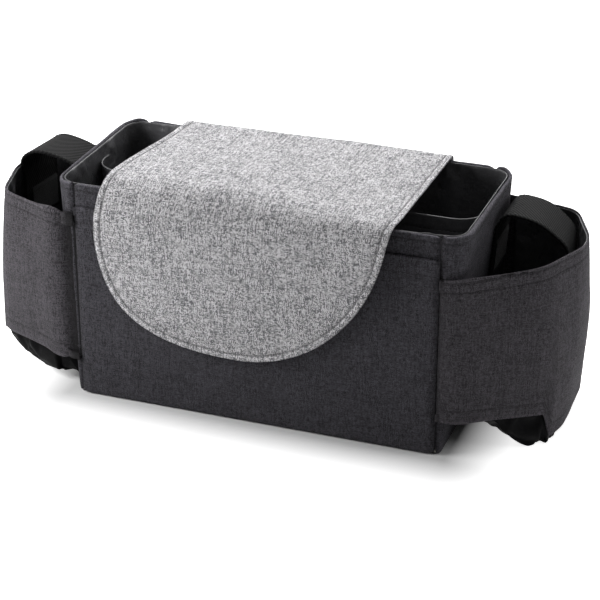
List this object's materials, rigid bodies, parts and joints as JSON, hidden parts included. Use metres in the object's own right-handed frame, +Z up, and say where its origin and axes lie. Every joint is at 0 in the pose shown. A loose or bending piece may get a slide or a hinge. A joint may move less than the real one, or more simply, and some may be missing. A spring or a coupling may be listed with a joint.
{
  "type": "stroller organizer",
  "caption": "Soft stroller organizer: an open lined box with a grey flap over the middle, a cup pocket with a strap at each end, and a flat pocket across the front.",
  "frame": {"origin": "under the middle of the whole object, on the surface that it stands on", "axes": "+X to the right as seen from the front, along the length; +Y from front to back; +Z up"},
  "size_m": [0.419, 0.1452, 0.1686],
  "materials": {
    "shell": "charcoal melange plain weave, matt",
    "pocket_cloth": "charcoal melange plain weave, matt",
    "flap_cloth": "light grey slubby melange weave, matt",
    "lining_cloth": "smooth black nylon, slightly shiny",
    "webbing": "dark grey twill webbing, matt",
    "stiffener_foam": "white felted foam sheet",
    "stiffener_board": "plain stiff sheet",
    "hook_and_loop": "black hook and loop tape"
  },
  "bodies": {
    "root": {"back_foam": "stiffener_foam", "back_panel": "shell", "base_board": "stiffener_board", "base_panel": "shell", "flap_hook_patch": "hook_and_loop", "flap_lining": "lining_cloth", "flap_shell": "flap_cloth", "front_foam": "stiffener_foam", "front_loop_patch": "hook_and_loop", "front_panel": "shell", "front_pocket": "shell", "inner_pocket": "lining_cloth", "left_foam": "stiffener_foam", "left_pocket_band": "pocket_cloth", "left_pocket_bottom": "lining_cloth", "left_pocket_lining": "lining_cloth", "left_side_panel": "shell", "left_strap": "webbing", "left_strap_hook_patch": "hook_and_loop", "left_strap_loop_patch": "hook_and_loop", "lining": "lining_cloth", "right_foam": "stiffener_foam", "right_pocket_band": "pocket_cloth", "right_pocket_bottom": "lining_cloth", "right_pocket_lining": "lining_cloth", "right_side_panel": "shell", "right_strap": "webbing", "right_strap_hook_patch": "hook_and_loop", "right_strap_loop_patch": "hook_and_loop"}
  },
  "joints": []
}
